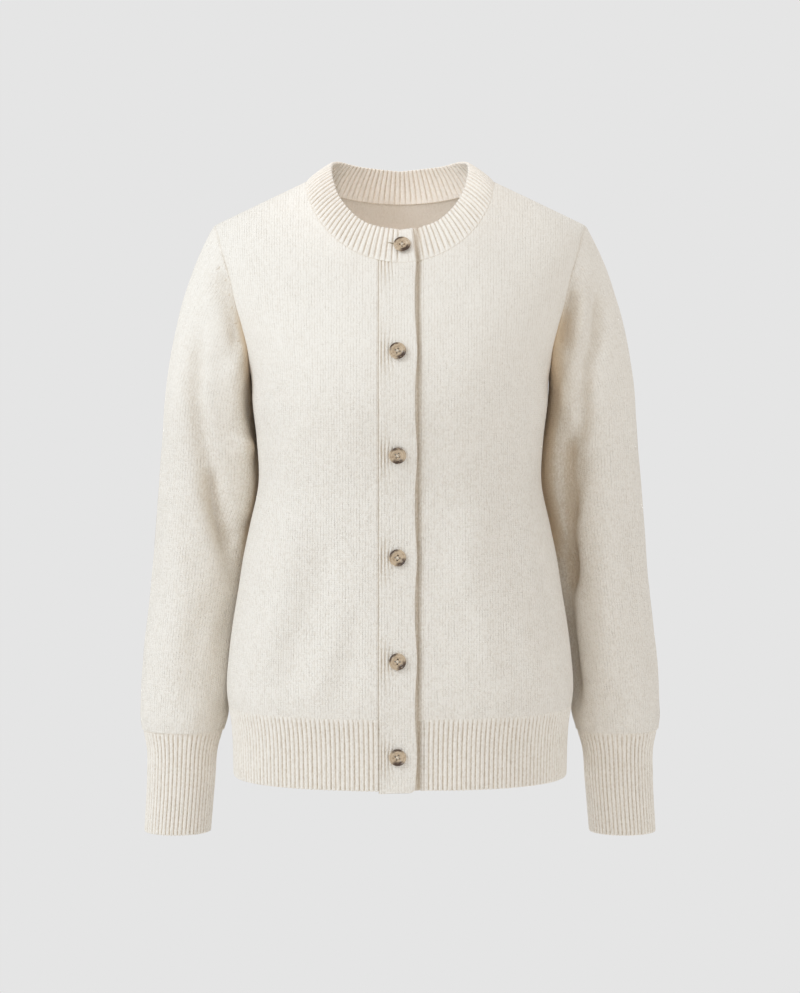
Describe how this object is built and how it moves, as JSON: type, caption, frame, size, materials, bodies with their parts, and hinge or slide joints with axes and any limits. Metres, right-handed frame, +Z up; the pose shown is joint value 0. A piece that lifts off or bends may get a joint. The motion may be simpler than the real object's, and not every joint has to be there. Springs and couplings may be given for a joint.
{
  "type": "button cardigan",
  "caption": "Crew-neck button cardigan in felted cream wool with ribbed neckband, hem and cuffs, filled out as worn, hollow and open at neck, hem and cuffs.",
  "frame": {"origin": "in the middle of the neck, level with the high shoulder points, where the wearer's neck and shoulders hold the garment", "axes": "+Z up, the front faces -Y, the wearer's right side is at -X"},
  "size_m": [0.5124, 0.2387, 0.6561],
  "materials": {
    "jersey": "felted wool jersey, matt, with a short nap",
    "rib": "felted wool rib, one plain and one purl, matt",
    "horn": "polished tan horn with dark brown clouds"
  },
  "bodies": {
    "root": {"back": "jersey", "front_right": "jersey", "front_left": "jersey", "sleeve_right": "jersey", "sleeve_left": "jersey", "cuff_right": "rib", "cuff_left": "rib", "hem_rib_back": "rib", "hem_rib_right": "rib", "hem_rib_left": "rib", "neckband": "rib", "buttonhole_band": "jersey", "button_band": "jersey", "button_1": "horn", "button_2": "horn", "button_3": "horn", "button_4": "horn", "button_5": "horn", "button_6": "horn"}
  },
  "joints": []
}
